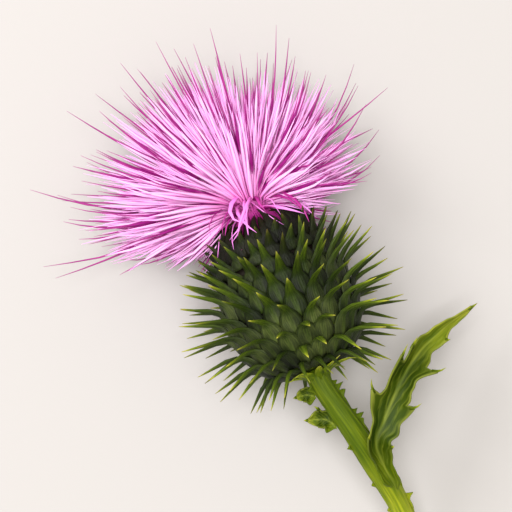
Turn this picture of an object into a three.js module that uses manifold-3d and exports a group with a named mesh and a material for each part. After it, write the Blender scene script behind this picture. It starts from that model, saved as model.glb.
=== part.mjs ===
// A cut thistle lying on its side: a flower head on a winged stem, with three stem leaves.
// Millimetres, +Z up, resting on z = 0. The origin is under the middle of the whole plant,
// +Y runs from the cut end of the stem towards the flower.
import * as THREE from "three";
import { mergeVertices } from "three/addons/utils/BufferGeometryUtils.js";
import Module from "manifold-3d";

const wasm = await Module();
wasm.setup();

// ---- Driving dimensions ----

const GAP = 0.3; // air between two pieces that touch on the real plant

// How the flower head lies.
const HEAD_TURN = 112; // degrees from +X to the way the flower points, seen from above
const HEAD_DIP = 9; // degrees that the flower points below level
const HEAD_BASE_HEIGHT = 19.2; // height of the point where the stem meets the head

// The inside of the head, a solid of revolution that the bracts stand on. Its lower end is the
// receptacle, the swollen end of the stem; above it are the packed feet of the florets.
const HEAD_LENGTH = 25.5;
const HEAD_RADIUS = 11.4; // at the widest
const HEAD_WIDEST_AT = 0.44; // as a share of the length, from the stem
const HEAD_BASE_RADIUS = 3.6;
const MOUTH_RADIUS = 8.6; // where the florets come out
const RECEPTACLE_HEIGHT = 6.5;
const ROUND_SIDES = 20; // flat sides of everything that goes round the head

// The spiny bracts, in tiers from the stem up to the mouth.
const TIER_COUNT = 10;
const BRACTS_PER_TIER = 19;
const TIER_THICKNESS = 1.1;
const BRACT_LENGTH = 9.2; // round the widest part of the head
const FIRST_BRACT_LENGTH = 7; // next to the stem
const LAST_BRACT_LENGTH = 3.8; // at the mouth, under the florets
const BRACT_WIDTH = 2.1;
const BRACT_SHARE = 0.75; // the most of a tier's way round that its bracts' feet take up
const BRACT_THICKNESS = 1.0;
const FIRST_BRACT_LEAN = 138; // degrees from the head's axis, next to the stem
const LAST_BRACT_LEAN = 26; // degrees from the head's axis, at the mouth
const BRACT_CURL = 0.9; // how far a tip bends sideways

// The florets, in rings from the middle of the flower outwards.
const FLORETS_IN_RING = [4, 8, 11, 14, 16, 18, 20, 20];
const SPRAY_HEIGHT = 10; // from the mouth to the middle of the ball that the tips lie on
const SPRAY_SHIFT = 3; // how far the ball leans to one side of the head's axis
const SPRAY_RADIUS = 27;
const SPRAY_FLATNESS = 0.6; // height of the ball over its width, for it lies on its side
const FIRST_FLORET_SPREAD = 8; // degrees round the ball from its top
const LAST_FLORET_SPREAD = 106;
const FLORET_RISE = 6; // how far a floret runs straight before it spreads
const FLORET_THICKNESS = 0.65;
const FLORET_STEPS = 3; // straight stretches along a floret
const TUFT_FLOOR = 6; // below this height the florets are pressed up by what they lie on

// The stem's line, from the head down to the cut end, in millimetres from the head's base.
const STEM_RADIUS = 1.9;
const STEM_LINE = [
  [3.2, -5.8, 0.3],
  [7.6, -12.1, -0.6],
  [11.7, -18.4, -2.8],
  [15.3, -24.7, -6.7],
  [18.5, -31.9, -11.7],
  [21.2, -39.1, -17.2],
];
const STEM_SIDES = 12;
const STEM_STEPS = 24;

// Spiny teeth of the wings that run down the stem: share of the stem's length, degrees round
// the stem from its upper side, and length.
const WING_TEETH = [
  [0.09, 80, 3.0],
  [0.2, 84, 3.2],
  [0.31, 76, 2.6],
  [0.6, 82, 2.2],
  [0.7, 80, 2.0],
  [0.36, -84, 2.2],
  [0.56, -82, 2.0],
  [0.74, -80, 1.8],
];
const TOOTH_WIDTH = 1.8; // along the stem
const TOOTH_THICKNESS = 0.7;
const TOOTH_SWEEP = 0.9; // how far a tooth points to the flower, per length outwards

// Leaves: where each leaves the stem, as a share of the stem's length and in degrees round it
// from its upper side; the line of the midrib in millimetres from there; the width at the
// widest, how far the two halves fold up, and how many teeth each edge has.
const LEAF_THICKNESS = 0.7;
const LEAF_ROOT_WIDTH = 0.12; // how far into the leaf's outline its root lies
const LEAF_TIP_WIDTH = 0.06; // as a share of the leaf's width
const TOOTH_DEPTH = 0.36; // of a leaf's teeth, as a share of its width
const LEAVES = [
  {
    name: "stem_leaf",
    at: 0.346,
    round: 26,
    line: [
      [0, 0, 0],
      [2.1, 5.8, 0.6],
      [4.7, 11.8, 0],
      [8.3, 17.3, -1.4],
      [12.8, 21.5, -3.6],
      [18.1, 25.2, -6.4],
    ],
    width: 6.4,
    fold: 38,
    teeth: 7,
    steps: 28,
  },
  {
    name: "upper_small_leaf",
    at: 0.08,
    round: -121,
    line: [
      [0, 0, 0],
      [-2.0, 0.4, -1.0],
      [-4.2, -0.2, -2.1],
    ],
    width: 2.5,
    fold: 40,
    teeth: 2,
    steps: 10,
  },
  {
    name: "lower_small_leaf",
    at: 0.217,
    round: -121,
    line: [
      [0, 0, 0],
      [-2.4, 1.6, -0.6],
      [-6.3, 1.2, -2.0],
    ],
    width: 3.0,
    fold: 42,
    teeth: 3,
    steps: 12,
  },
];

// ---- Materials ----

const finish = (color, roughness) =>
  new THREE.MeshStandardMaterial({ color, roughness, metalness: 0 });
const MATERIALS = {
  stem: finish(0x7d9430, 0.6),
  leaf: finish(0x5f8526, 0.55),
  bract: finish(0x2c4a1a, 0.55),
  receptacle: finish(0x5d7036, 0.7),
  floret: finish(0xf09adf, 0.6),
};

// ---- Small helpers ----

const radians = THREE.MathUtils.degToRad;
const lerp = THREE.MathUtils.lerp;
const UP = new THREE.Vector3(0, 0, 1);

// A three.js geometry as a solid that can be joined to others.
function solid(geometry) {
  const bare = new THREE.BufferGeometry();
  bare.setAttribute("position", geometry.getAttribute("position"));
  bare.setIndex(geometry.index);
  const merged = mergeVertices(bare, 1e-4);
  return new wasm.Manifold(
    new wasm.Mesh({
      numProp: 3,
      vertProperties: new Float32Array(merged.attributes.position.array),
      triVerts: new Uint32Array(merged.index.array),
    }),
  );
}

// The joined solid of several geometries, as one geometry.
function joined(geometries) {
  const made = geometries.map(solid).reduce((all, next) => all.add(next));
  const mesh = made.getMesh();
  const geometry = new THREE.BufferGeometry();
  geometry.setAttribute("position", new THREE.BufferAttribute(mesh.vertProperties, 3));
  geometry.setIndex(new THREE.BufferAttribute(mesh.triVerts, 1));
  return geometry;
}

function part(name, geometry, material) {
  const mesh = new THREE.Mesh(geometry, material);
  mesh.name = name;
  return mesh;
}

// A matrix whose Z runs along `direction` and whose Y leans towards `towards`.
function basisAlong(direction, towards, origin) {
  const z = direction.clone().normalize();
  const x = new THREE.Vector3().crossVectors(towards, z).normalize();
  const y = new THREE.Vector3().crossVectors(z, x);
  return new THREE.Matrix4().makeBasis(x, y, z).setPosition(origin);
}

// A three-sided spine from the origin along +Z that tapers to a point and bends towards +Y.
function spine(length, width, thickness, curl) {
  const geometry = new THREE.ConeGeometry(1, length, 3, 2).rotateX(Math.PI / 2);
  geometry.scale(width / 2, thickness / 2, 1).translate(0, 0, length / 2);
  const places = geometry.attributes.position;
  for (let i = 0; i < places.count; i++) {
    const along = places.getZ(i) / length;
    places.setY(i, places.getY(i) + curl * along * along);
  }
  return geometry;
}

// A tapering rod with three sides through the points of a curve.
function rod(curve, steps, startWidth, endWidth) {
  const geometry = new THREE.CylinderGeometry(0.5, 0.5, 1, 3, steps).rotateX(Math.PI / 2);
  const places = geometry.attributes.position;
  const point = new THREE.Vector3();
  for (let i = 0; i < places.count; i++) {
    const along = places.getZ(i) + 0.5;
    const width = lerp(startWidth, endWidth, along);
    const frame = basisAlong(curve.getTangent(along), UP, curve.getPoint(along));
    point.set(places.getX(i) * width, places.getY(i) * width, 0).applyMatrix4(frame);
    places.setXYZ(i, point.x, point.y, point.z);
  }
  return geometry;
}

// ---- Where the head lies ----

const headAxis = new THREE.Vector3(
  Math.cos(radians(HEAD_TURN)) * Math.cos(radians(HEAD_DIP)),
  Math.sin(radians(HEAD_TURN)) * Math.cos(radians(HEAD_DIP)),
  -Math.sin(radians(HEAD_DIP)),
);
const headBase = new THREE.Vector3(0, 0, HEAD_BASE_HEIGHT);
// In the head's own frame Z runs from the stem to the flower and Y points up from the table.
const headPlace = basisAlong(headAxis, UP, headBase);
const heightOf = (point) => point.clone().applyMatrix4(headPlace).z;

// ---- The head's profile and the receptacle ----

// Radius of the head inside its bracts, at a share of its length.
function headRadius(share) {
  if (share < HEAD_WIDEST_AT) {
    const left = 1 - share / HEAD_WIDEST_AT;
    return lerp(HEAD_BASE_RADIUS, HEAD_RADIUS, Math.sqrt(1 - left * left));
  }
  const past = (share - HEAD_WIDEST_AT) / (1 - HEAD_WIDEST_AT);
  return lerp(MOUTH_RADIUS, HEAD_RADIUS, Math.cos((past * Math.PI) / 2));
}

// The profile as a row of close points, with x the radius and y along the axis.
const PROFILE_STEPS = 200;
const profile = [...Array(PROFILE_STEPS + 1).keys()].map((i) => {
  const share = 1 - Math.cos((i / PROFILE_STEPS) * (Math.PI / 2));
  return new THREE.Vector2(headRadius(share), share * HEAD_LENGTH);
});
const profileLengths = profile.map((p, i) => (i ? p.distanceTo(profile[i - 1]) : 0));
const profileLength = profileLengths.reduce((a, b) => a + b);

// The point of the profile at a share of its own length, pushed outwards.
function offProfile(share, out) {
  let left = THREE.MathUtils.clamp(share, 0, 1) * profileLength;
  let i = 1;
  while (i < PROFILE_STEPS && left > profileLengths[i]) left -= profileLengths[i++];
  const along = profile[i].clone().sub(profile[i - 1]);
  const point = profile[i - 1].clone().addScaledVector(along, left / profileLengths[i]);
  const outward = new THREE.Vector2(along.y, -along.x).normalize();
  return point.addScaledVector(outward, out);
}

// Points of the profile between two heights above the head's base, scaled towards the axis.
function profileBetween(from, to, steps, scale, inset) {
  return [...Array(steps + 1).keys()].map((i) => {
    const height = lerp(from, to, i / steps);
    const radius = headRadius(height / HEAD_LENGTH) * scale + inset;
    return new THREE.Vector2(Math.max(radius, 0), height);
  });
}

function makeReceptacle() {
  const points = [
    new THREE.Vector2(0, 0),
    ...profileBetween(0, RECEPTACLE_HEIGHT, 4, 1, 0),
    new THREE.Vector2(0, RECEPTACLE_HEIGHT),
  ];
  const geometry = new THREE.LatheGeometry(points, ROUND_SIDES).rotateX(Math.PI / 2);
  return part("receptacle", geometry, MATERIALS.receptacle);
}

// ---- The bracts ----

// Length of a bract whose foot is at a share of the head's length.
function bractLength(share) {
  const nearStem = 1 - THREE.MathUtils.smoothstep(share, 0, 0.35);
  const nearMouth = THREE.MathUtils.smoothstep(share, 0.6, 1);
  const length = lerp(BRACT_LENGTH, FIRST_BRACT_LENGTH, nearStem);
  return lerp(length, LAST_BRACT_LENGTH, nearMouth);
}

// One tier: a narrow collar round the head, with its spiny bracts standing on it.
function makeTier(tier) {
  const low = tier / TIER_COUNT;
  const high = (tier + 1) / TIER_COUNT - GAP / profileLength;
  const lowest = Math.max(low, GAP / profileLength);
  const inner = GAP;
  const outer = GAP + TIER_THICKNESS;
  const corners = [
    offProfile(lowest, inner),
    offProfile(lowest, outer),
    offProfile(high, outer),
    offProfile(high, inner),
    offProfile(lowest, inner),
  ];
  const collar = new THREE.LatheGeometry(corners, ROUND_SIDES).rotateX(Math.PI / 2);
  const foot = offProfile((low + high) / 2, GAP + TIER_THICKNESS / 2);
  const lean = radians(lerp(FIRST_BRACT_LEAN, LAST_BRACT_LEAN, foot.y / HEAD_LENGTH));
  const width = Math.min(BRACT_WIDTH, (BRACT_SHARE * 2 * Math.PI * foot.x) / BRACTS_PER_TIER);
  const longest = bractLength(foot.y / HEAD_LENGTH);
  const spines = [...Array(BRACTS_PER_TIER).keys()].map((i) => {
    const turn = (2 * Math.PI * (i + (tier % 2) / 2)) / BRACTS_PER_TIER;
    const round = new THREE.Vector3(Math.cos(turn), Math.sin(turn), 0);
    const start = round.clone().multiplyScalar(foot.x).setZ(foot.y);
    const direction = round.clone().multiplyScalar(Math.sin(lean)).setZ(Math.cos(lean));
    // A spine that would reach below the table ends on it.
    const startHeight = heightOf(start);
    const tip = start.clone().addScaledVector(direction, longest);
    const drop = startHeight - heightOf(tip);
    const room = drop > 0 ? (startHeight - GAP - BRACT_CURL / 2) / drop : 1;
    const length = longest * Math.min(1, room);
    const place = basisAlong(direction, new THREE.Vector3(0, 0, 1), start);
    return spine(length, width, BRACT_THICKNESS, BRACT_CURL).applyMatrix4(place);
  });
  const name = "bract_tier_" + String(tier + 1).padStart(2, "0");
  return part(name, joined([collar, ...spines]), MATERIALS.bract);
}

// ---- The florets ----

const sprayMiddle = new THREE.Vector3(SPRAY_SHIFT, 0, HEAD_LENGTH + SPRAY_HEIGHT);

// A tip that hangs below TUFT_FLOOR is pressed up towards the table's surface.
function pressedUp(point) {
  const placed = point.clone().applyMatrix4(headPlace);
  if (placed.z >= TUFT_FLOOR) return point;
  const depth = TUFT_FLOOR - GAP;
  placed.z = GAP + depth * Math.exp((placed.z - TUFT_FLOOR) / depth);
  return placed.applyMatrix4(headPlace.clone().invert());
}

// One ring: the packed feet of its florets, a tube that stands on the receptacle inside the
// next ring's tube, and the florets that rise from it at the mouth.
function makeFloretRing(ring) {
  const rings = FLORETS_IN_RING.length;
  const bottom = RECEPTACLE_HEIGHT + GAP;
  const outside = profileBetween(bottom, HEAD_LENGTH, 3, (ring + 1) / rings, 0);
  const inside = profileBetween(bottom, HEAD_LENGTH, 3, ring / rings, ring ? GAP : 0);
  const corners = [...outside, ...inside.reverse(), outside[0]];
  const feet = new THREE.LatheGeometry(corners, ROUND_SIDES).rotateX(Math.PI / 2);
  const middle = (MOUTH_RADIUS * (ring + 0.5) + (ring ? GAP : 0)) / rings;
  const share = ring / (rings - 1);
  const spread = radians(lerp(FIRST_FLORET_SPREAD, LAST_FLORET_SPREAD, share));
  const count = FLORETS_IN_RING[ring];
  const florets = [...Array(count).keys()].map((i) => {
    const turn = (2 * Math.PI * (i + ring * 0.382)) / count;
    const round = new THREE.Vector3(Math.cos(turn), Math.sin(turn), 0);
    const start = round.clone().multiplyScalar(middle).setZ(HEAD_LENGTH - FLORET_THICKNESS);
    const rise = start.clone().setZ(start.z + FLORET_RISE);
    const tip = round.clone().multiplyScalar(SPRAY_RADIUS * Math.sin(spread));
    tip.setY(tip.y * SPRAY_FLATNESS);
    tip.add(sprayMiddle).setZ(sprayMiddle.z + SPRAY_RADIUS * Math.cos(spread));
    const curve = new THREE.QuadraticBezierCurve3(start, rise, pressedUp(tip));
    return rod(curve, FLORET_STEPS, FLORET_THICKNESS, FLORET_THICKNESS / 2);
  });
  return part("floret_ring_" + (ring + 1), joined([feet, ...florets]), MATERIALS.floret);
}

// ---- The stem ----

const stemTop = headBase.clone().addScaledVector(headAxis, -GAP);
const stemCurve = new THREE.CatmullRomCurve3([
  stemTop,
  stemTop.clone().addScaledVector(headAxis, -2.5),
  ...STEM_LINE.map((point) => headBase.clone().add(new THREE.Vector3(...point))),
]);

// The direction out of the stem at a share of its length, in degrees round it from its upper
// side: positive is to the right of someone who looks along it towards the flower.
function outOfStem(share, round) {
  const along = stemCurve.getTangentAt(share);
  const right = new THREE.Vector3().crossVectors(UP, along).normalize();
  const above = new THREE.Vector3().crossVectors(along, right);
  const turn = radians(round);
  return above.multiplyScalar(Math.cos(turn)).addScaledVector(right, Math.sin(turn));
}

function makeStem() {
  const section = new THREE.Shape();
  section.absarc(0, 0, STEM_RADIUS, 0, 2 * Math.PI);
  const stem = new THREE.ExtrudeGeometry(section, {
    steps: STEM_STEPS,
    curveSegments: STEM_SIDES / 2,
    extrudePath: stemCurve,
    bevelEnabled: false,
  });
  const teeth = WING_TEETH.map(([share, round, length]) => {
    const along = stemCurve.getTangentAt(share);
    const out = outOfStem(share, round);
    const start = stemCurve.getPointAt(share).addScaledVector(out, STEM_RADIUS / 2);
    const direction = out.clone().addScaledVector(along, -TOOTH_SWEEP).normalize();
    const reach = length + STEM_RADIUS / 2;
    const place = basisAlong(direction, along, start);
    return spine(reach, TOOTH_THICKNESS, TOOTH_WIDTH, 0).applyMatrix4(place);
  });
  return part("stem", joined([stem, ...teeth]), MATERIALS.stem);
}

// ---- The leaves ----

// Half of a leaf's width at a share of its length: widest before the middle, pointed at the
// end, with teeth along the edge.
function halfWidth(leaf, share) {
  const blade = Math.sin(Math.PI * Math.pow(lerp(LEAF_ROOT_WIDTH, 1, share), 0.8));
  const saw = (leaf.teeth * share) % 1;
  const toothed = 1 + TOOTH_DEPTH * (saw - 0.5);
  return (leaf.width / 2) * Math.max(LEAF_TIP_WIDTH, blade) * toothed;
}

// A folded blade along its midrib: a box whose points are moved to the leaf's shape.
function makeLeaf(leaf) {
  const out = outOfStem(leaf.at, leaf.round);
  const root = stemCurve.getPointAt(leaf.at);
  root.addScaledVector(out, STEM_RADIUS + GAP + LEAF_THICKNESS);
  const line = leaf.line.map((step) => root.clone().add(new THREE.Vector3(...step)));
  const curve = new THREE.CatmullRomCurve3(line);
  const geometry = new THREE.BoxGeometry(2, LEAF_THICKNESS, 1, 4, 1, leaf.steps);
  const places = geometry.attributes.position;
  const point = new THREE.Vector3();
  for (let i = 0; i < places.count; i++) {
    const along = places.getZ(i) + 0.5;
    const across = places.getX(i);
    const rise = radians(leaf.fold) * Math.abs(across);
    const reach = halfWidth(leaf, along) * across;
    const frame = basisAlong(curve.getTangentAt(along), UP, curve.getPointAt(along));
    const thin = places.getY(i) * (1 - 0.5 * Math.abs(across));
    point.set(reach * Math.cos(rise), Math.abs(reach) * Math.sin(rise) + thin, 0);
    point.applyMatrix4(frame);
    places.setXYZ(i, point.x, point.y, point.z);
  }
  return part(leaf.name, geometry, MATERIALS.leaf);
}

// ---- The whole plant ----

function makeHead() {
  const head = new THREE.Group();
  head.add(makeReceptacle());
  for (let tier = 0; tier < TIER_COUNT; tier++) head.add(makeTier(tier));
  FLORETS_IN_RING.forEach((_, ring) => head.add(makeFloretRing(ring)));
  head.applyMatrix4(headPlace);
  return head;
}

function makeThistle() {
  const plant = new THREE.Group();
  plant.add(makeHead(), makeStem(), ...LEAVES.map(makeLeaf));
  // Move the plant so that the origin is at the middle of its underside.
  plant.updateMatrixWorld(true);
  const box = new THREE.Box3().setFromObject(plant, true);
  const middle = box.getCenter(new THREE.Vector3());
  plant.position.set(-middle.x, -middle.y, -box.min.z);
  const thistle = new THREE.Group();
  thistle.add(plant);
  return thistle;
}

export default makeThistle();
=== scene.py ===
# %% [markdown]
# # A cut thistle, lying on its side
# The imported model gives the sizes, the places and the collision of a thistle's stem, leaves,
# bracts and florets as plain solids. This script loads it as a fixed frame and gives each
# plain solid the shape and finish of the real piece: hundreds of spine-tipped bracts,
# hundreds of florets with their lobes, and a ribbed, toothed stem. Lengths are in metres.

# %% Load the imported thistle
import math
import random

import bmesh
import bpy
from mathutils import Matrix, Vector


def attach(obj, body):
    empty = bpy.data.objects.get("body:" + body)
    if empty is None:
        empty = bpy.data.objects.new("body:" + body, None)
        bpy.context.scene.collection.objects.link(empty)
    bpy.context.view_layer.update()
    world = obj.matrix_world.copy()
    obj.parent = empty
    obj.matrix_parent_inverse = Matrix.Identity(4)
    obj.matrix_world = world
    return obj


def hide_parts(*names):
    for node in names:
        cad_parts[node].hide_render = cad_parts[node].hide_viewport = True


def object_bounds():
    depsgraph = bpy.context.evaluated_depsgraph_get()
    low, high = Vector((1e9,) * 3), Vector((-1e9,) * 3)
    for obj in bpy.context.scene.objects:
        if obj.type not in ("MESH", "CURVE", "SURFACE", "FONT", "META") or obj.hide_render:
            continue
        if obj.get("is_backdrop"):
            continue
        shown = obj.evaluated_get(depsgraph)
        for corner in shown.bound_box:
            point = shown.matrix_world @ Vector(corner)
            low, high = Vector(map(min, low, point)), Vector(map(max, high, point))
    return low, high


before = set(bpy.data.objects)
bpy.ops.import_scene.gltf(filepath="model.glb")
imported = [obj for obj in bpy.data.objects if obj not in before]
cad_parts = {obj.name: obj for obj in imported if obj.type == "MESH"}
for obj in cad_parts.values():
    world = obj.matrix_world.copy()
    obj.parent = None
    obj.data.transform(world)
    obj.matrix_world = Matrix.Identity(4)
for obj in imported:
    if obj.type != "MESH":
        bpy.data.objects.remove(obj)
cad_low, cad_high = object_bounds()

MM = 0.001
UP = Vector((0, 0, 1))


def in_mm(place):
    return [round(c / MM, 1) for c in place]


print("frame from", in_mm(cad_low), "to", in_mm(cad_high))

# %% [markdown]
# ## Where the head lies
# Bracts and florets stand round the head's own axis, so they are easiest to place in a frame
# whose Z runs from the stem to the flower and whose Y points up from the table. The axis turns
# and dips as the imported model's does, and its foot is found from the receptacle's flat end.

# %% Find the head's own frame
HEAD_TURN = math.radians(112)
HEAD_DIP = math.radians(9)
head_axis = Vector(
    (
        math.cos(HEAD_TURN) * math.cos(HEAD_DIP),
        math.sin(HEAD_TURN) * math.cos(HEAD_DIP),
        -math.sin(HEAD_DIP),
    )
)


def frame_along(direction, towards, origin):
    """A matrix whose Z runs along a direction and whose Y leans towards another."""
    z = direction.normalized()
    x = towards.cross(z).normalized()
    place = Matrix((x, z.cross(x), z)).transposed().to_4x4()
    place.translation = origin
    return place


corners = [v.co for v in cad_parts["receptacle"].data.vertices]
lowest = min(co.dot(head_axis) for co in corners)
rim = [co for co in corners if co.dot(head_axis) < lowest + 0.01 * MM]
head_base = Vector(
    [(min(co[k] for co in rim) + max(co[k] for co in rim)) / 2 for k in range(3)]
)
HEAD = frame_along(head_axis, UP, head_base)
print("the head starts at", in_mm(head_base))

# %% [markdown]
# ## The head's profile
# The bracts hug a barrel that is widest below its middle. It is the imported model's barrel,
# written once more as a formula, because a curve can be asked for a point and a slope
# anywhere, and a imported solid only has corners.

# %% The barrel that the bracts hug
HEAD_LENGTH = 25.5 * MM
HEAD_RADIUS = 11.4 * MM
HEAD_WIDEST = 0.44
HEAD_BASE_RADIUS = 3.6 * MM
MOUTH_RADIUS = 8.6 * MM
PROFILE_STEPS = 120


def mix(a, b, share):
    return a + (b - a) * share


def smooth(share):
    share = min(max(share, 0.0), 1.0)
    return share * share * (3 - 2 * share)


def head_radius(share):
    if share < HEAD_WIDEST:
        left = 1 - share / HEAD_WIDEST
        return mix(HEAD_BASE_RADIUS, HEAD_RADIUS, math.sqrt(1 - left * left))
    past = (share - HEAD_WIDEST) / (1 - HEAD_WIDEST)
    return mix(MOUTH_RADIUS, HEAD_RADIUS, math.cos(past * math.pi / 2))


class Line:
    """A line through points, asked for a place or a direction at a share of its length."""

    def __init__(self, points):
        self.points = points
        self.ends = [0.0]
        for a, b in zip(points, points[1:]):
            self.ends.append(self.ends[-1] + (b - a).length)
        self.length = self.ends[-1]

    def at(self, share):
        """The place at a share of the length. Past an end, the line runs straight on."""
        want = share * self.length
        i = 0
        while i < len(self.points) - 2 and self.ends[i + 1] < want:
            i += 1
        a, b = self.points[i], self.points[i + 1]
        return a + (b - a) * ((want - self.ends[i]) / (b - a).length)

    def heading(self, share, reach=0.02):
        return (self.at(share + reach) - self.at(share - reach)).normalized()


shares = [1 - math.cos(i / PROFILE_STEPS * math.pi / 2) for i in range(PROFILE_STEPS + 1)]
profile = Line([Vector((head_radius(s), 0, s * HEAD_LENGTH)) for s in shares])
print("the profile is", round(profile.length / MM, 1), "mm long")

# %% [markdown]
# ## Shapes that repeat
# A bract, a lobe and a tooth are all tapering rods. A disc is drawn out of its own plane
# step by step with the extrude operator, and each step scales the new ring, which gives a
# closed mesh that follows a list of widths. Only one of each is modelled. Every copy of it is
# poured into the piece that it belongs to and bent to its own place by moving its corners.


# %% Draw a tapering rod out of a disc
def drawn_rod(sides, stations, keel=0.0):
    """A closed rod up Z through (height, half width, half thickness) stations. Its UV map
    holds the way along it and the way across it. A keel raises the corner on +Y."""
    shape = bmesh.new()
    height, width, thickness = stations[0]
    ring = bmesh.ops.create_circle(shape, cap_ends=True, segments=sides, radius=1)["verts"]
    for corner in ring:
        if corner.co.y > 0.9:
            corner.co.y += keel
    bmesh.ops.scale(shape, vec=(width, thickness, 1), verts=ring)
    bmesh.ops.translate(shape, vec=(0, 0, height), verts=ring)
    edges = shape.edges[:]
    for higher, wider, thicker in stations[1:]:
        made = bmesh.ops.extrude_edge_only(shape, edges=edges)["geom"]
        ring = [g for g in made if isinstance(g, bmesh.types.BMVert)]
        edges = [g for g in made if isinstance(g, bmesh.types.BMEdge)]
        bmesh.ops.scale(shape, vec=(wider / width, thicker / thickness, 1), verts=ring)
        bmesh.ops.translate(shape, vec=(0, 0, higher - height), verts=ring)
        height, width, thickness = higher, wider, thicker
    bmesh.ops.holes_fill(shape, edges=edges, sides=0)
    bmesh.ops.recalc_face_normals(shape, faces=shape.faces)
    half_width = {round(h, 5): w for h, w, _ in stations}
    uv = shape.loops.layers.uv.new("UVMap")
    for face in shape.faces:
        for loop in face.loops:
            co = loop.vert.co
            loop[uv].uv = (co.z, 0.5 + 0.5 * co.x / half_width[round(co.z, 5)])
    return stored(shape, "rod")


def stored(shape, name):
    mesh = bpy.data.meshes.new(name)
    shape.to_mesh(mesh)
    shape.free()
    return mesh


# %% Pour copies into a piece
class Pile:
    """A mesh that copies are poured into, each with its own place, finish and tint."""

    def __init__(self):
        self.shape = bmesh.new()
        self.tints = []

    def pour(self, mesh, place, finish=None, tint=0.5):
        first_corner, first_face = len(self.shape.verts), len(self.shape.faces)
        self.shape.from_mesh(mesh)
        self.shape.verts.ensure_lookup_table()
        self.shape.faces.ensure_lookup_table()
        for corner in self.shape.verts[first_corner:]:
            corner.co = place(corner.co)
        for face in self.shape.faces[first_face:]:
            face.smooth = True
            if finish is not None:
                face.material_index = finish
        self.tints += [tint] * len(mesh.vertices)

    def mesh(self, name):
        made = stored(self.shape, name)
        layer = made.attributes.new("tint", "FLOAT", "POINT")
        layer.data.foreach_set("value", self.tints)
        return made

    def piece(self, name, finishes, nodes, slot):
        """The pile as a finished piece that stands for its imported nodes."""
        made = self.mesh(name)
        for finish in finishes:
            made.materials.append(finish)
        thing = bpy.data.objects.new(name, made)
        bpy.context.scene.collection.objects.link(thing)
        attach(thing, "root")
        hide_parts(*nodes)
        print(name, len(made.polygons), "faces")
        return thing


def bent_along(line, towards):
    """Bends a shape that stands on Z: its height is a share of the line, and its X and Y go
    to the side of the line and towards a direction."""

    def place(co):
        heading = line.heading(co.z)
        side = heading.cross(towards).normalized()
        return line.at(co.z) + side * co.x + side.cross(heading) * co.y

    return place


def bow(start, first, second, end, steps=18):
    """The points of a smooth arch from start to end, pulled towards two points between."""
    points = []
    for i in range(steps + 1):
        t = i / steps
        early, late = 3 * t * (1 - t) ** 2, 3 * t * t * (1 - t)
        points.append(start * (1 - t) ** 3 + first * early + second * late + end * t**3)
    return points


def curve_through(points, steps=10):
    """A smooth line through points."""
    ends = [2 * points[0] - points[1], *points, 2 * points[-1] - points[-2]]
    made = []
    for a, b, c, d in zip(ends, ends[1:], ends[2:], ends[3:]):
        for i in range(steps):
            t = i / steps
            bend = (2 * a - 5 * b + 4 * c - d) * t + (3 * b - a - 3 * c + d) * t * t
            made.append((2 * b + (c - a + bend) * t) / 2)
    return Line([*made, points[-1]])


# %% [markdown]
# ## Finishes
# Every green part of a thistle changes along its length, from a dark, bloomy base to a
# straw-coloured point, so its colour comes from a ramp on its own UV map; on the bracts that
# dark base is deepened with painted shade. A noise on Object coordinates breaks it up, and the
# tint that each copy was poured with makes neighbours differ and also darkens, as painted shade,
# the last tiers of bracts, the neck and the tuft's outermost florets. Numbers that are the same
# all over go straight on the shader.


# %% Node helpers
def finish(name, roughness, **sockets):
    """A new material: its node tree, its shader and itself."""
    made = bpy.data.materials.new(name)
    made.use_nodes = True
    tree = made.node_tree
    shader = tree.nodes["Principled BSDF"]
    shader.inputs["Roughness"].default_value = roughness
    for socket, value in sockets.items():
        shader.inputs[socket.replace("_", " ")].default_value = value
    return made, tree, shader


def ramp(tree, source, stops):
    """A colour ramp on a value: stops are (place, (red, green, blue))."""
    node = tree.nodes.new("ShaderNodeValToRGB")
    points = node.color_ramp.elements
    while len(points) < len(stops):
        points.new(0.5)
    for point, (place, colour) in zip(points, stops):
        point.position = place
        point.color = (*colour, 1)
    tree.links.new(source, node.inputs["Fac"])
    return node.outputs["Color"]


def blend(tree, kind, amount, a, b):
    """Two colours mixed: the amount is a number or a value, b a colour or a socket."""
    node = tree.nodes.new("ShaderNodeMix")
    node.data_type = "RGBA"
    node.blend_type = kind
    factor, first, second = node.inputs[0], node.inputs[6], node.inputs[7]
    for socket, value in ((factor, amount), (first, a), (second, b)):
        if isinstance(value, bpy.types.NodeSocket):
            tree.links.new(value, socket)
        elif isinstance(value, tuple):
            socket.default_value = (*value, 1)
        else:
            socket.default_value = value
    return node.outputs[2]


def noise(tree, scale, stretch=(1, 1, 1), source="Object", detail=3):
    """Noise on Object coordinates or on the UV map, a value from 0 to 1."""
    place = tree.nodes.new("ShaderNodeTexCoord")
    mapping = tree.nodes.new("ShaderNodeMapping")
    mapping.inputs["Scale"].default_value = stretch
    tree.links.new(place.outputs[source], mapping.inputs["Vector"])
    node = tree.nodes.new("ShaderNodeTexNoise")
    node.inputs["Scale"].default_value = scale
    node.inputs["Detail"].default_value = detail
    tree.links.new(mapping.outputs["Vector"], node.inputs["Vector"])
    return node.outputs["Fac"]


def math_node(tree, operation, first, second=None):
    """A sum, a product or the like of values, numbers or sockets."""
    node = tree.nodes.new("ShaderNodeMath")
    node.operation = operation
    for socket, value in zip(node.inputs, (first, second)):
        if isinstance(value, bpy.types.NodeSocket):
            tree.links.new(value, socket)
        elif value is not None:
            socket.default_value = value
    return node.outputs["Value"]


def along_and_across(tree):
    """The way along a piece and the way across it, from its UV map."""
    place = tree.nodes.new("ShaderNodeTexCoord")
    split = tree.nodes.new("ShaderNodeSeparateXYZ")
    tree.links.new(place.outputs["UV"], split.inputs["Vector"])
    return split.outputs["X"], split.outputs["Y"]


def tint(tree):
    node = tree.nodes.new("ShaderNodeAttribute")
    node.attribute_name = "tint"
    return node.outputs["Fac"]


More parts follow.
